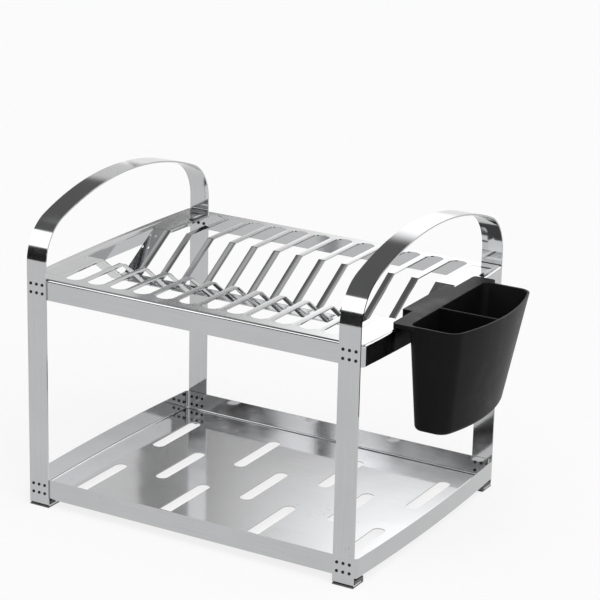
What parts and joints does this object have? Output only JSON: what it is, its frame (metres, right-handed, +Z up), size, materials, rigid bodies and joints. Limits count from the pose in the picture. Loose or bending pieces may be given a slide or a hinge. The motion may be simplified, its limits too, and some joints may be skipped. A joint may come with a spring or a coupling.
{
  "type": "dish drying rack",
  "caption": "Two-tier sheet-steel dish drying rack: slotted plate rack over a cup tray on two arched straps that are legs and handles, with a hook-on cutlery holder.",
  "frame": {"origin": "on the worktop, below the middle of the whole part's bounding box, so the rack itself stands a little to the left of it and the cutlery holder is at the right", "axes": "+X along the long sides towards the cutlery holder, +Y from the front to the rear, +Z up"},
  "size_m": [0.4326, 0.282, 0.3031],
  "materials": {
    "polished_steel": "mirror-polished stainless steel sheet",
    "rivet_steel": "dull dark steel rivet heads",
    "foot_plastic": "moulded dark grey plastic",
    "holder_plastic": "moulded black plastic, matt"
  },
  "bodies": {
    "rack": {"plate_rack": "polished_steel", "lower_tray": "polished_steel", "left_strap": "polished_steel", "right_strap": "polished_steel", "front_left_foot": "foot_plastic", "rear_left_foot": "foot_plastic", "front_right_foot": "foot_plastic", "rear_right_foot": "foot_plastic", "lower_front_left_rivets": "rivet_steel", "lower_rear_left_rivets": "rivet_steel", "lower_front_right_rivets": "rivet_steel", "lower_rear_right_rivets": "rivet_steel", "upper_front_left_rivets": "rivet_steel", "upper_rear_left_rivets": "rivet_steel", "upper_front_right_rivets": "rivet_steel", "upper_rear_right_rivets": "rivet_steel"},
    "cutlery_holder": {"cutlery_holder": "holder_plastic"}
  },
  "joints": [
    {"name": "holder_lift", "type": "slide", "parent": "rack", "child": "cutlery_holder", "axis": [0, 0, 1], "range_m": [0, 0.025]}
  ]
}
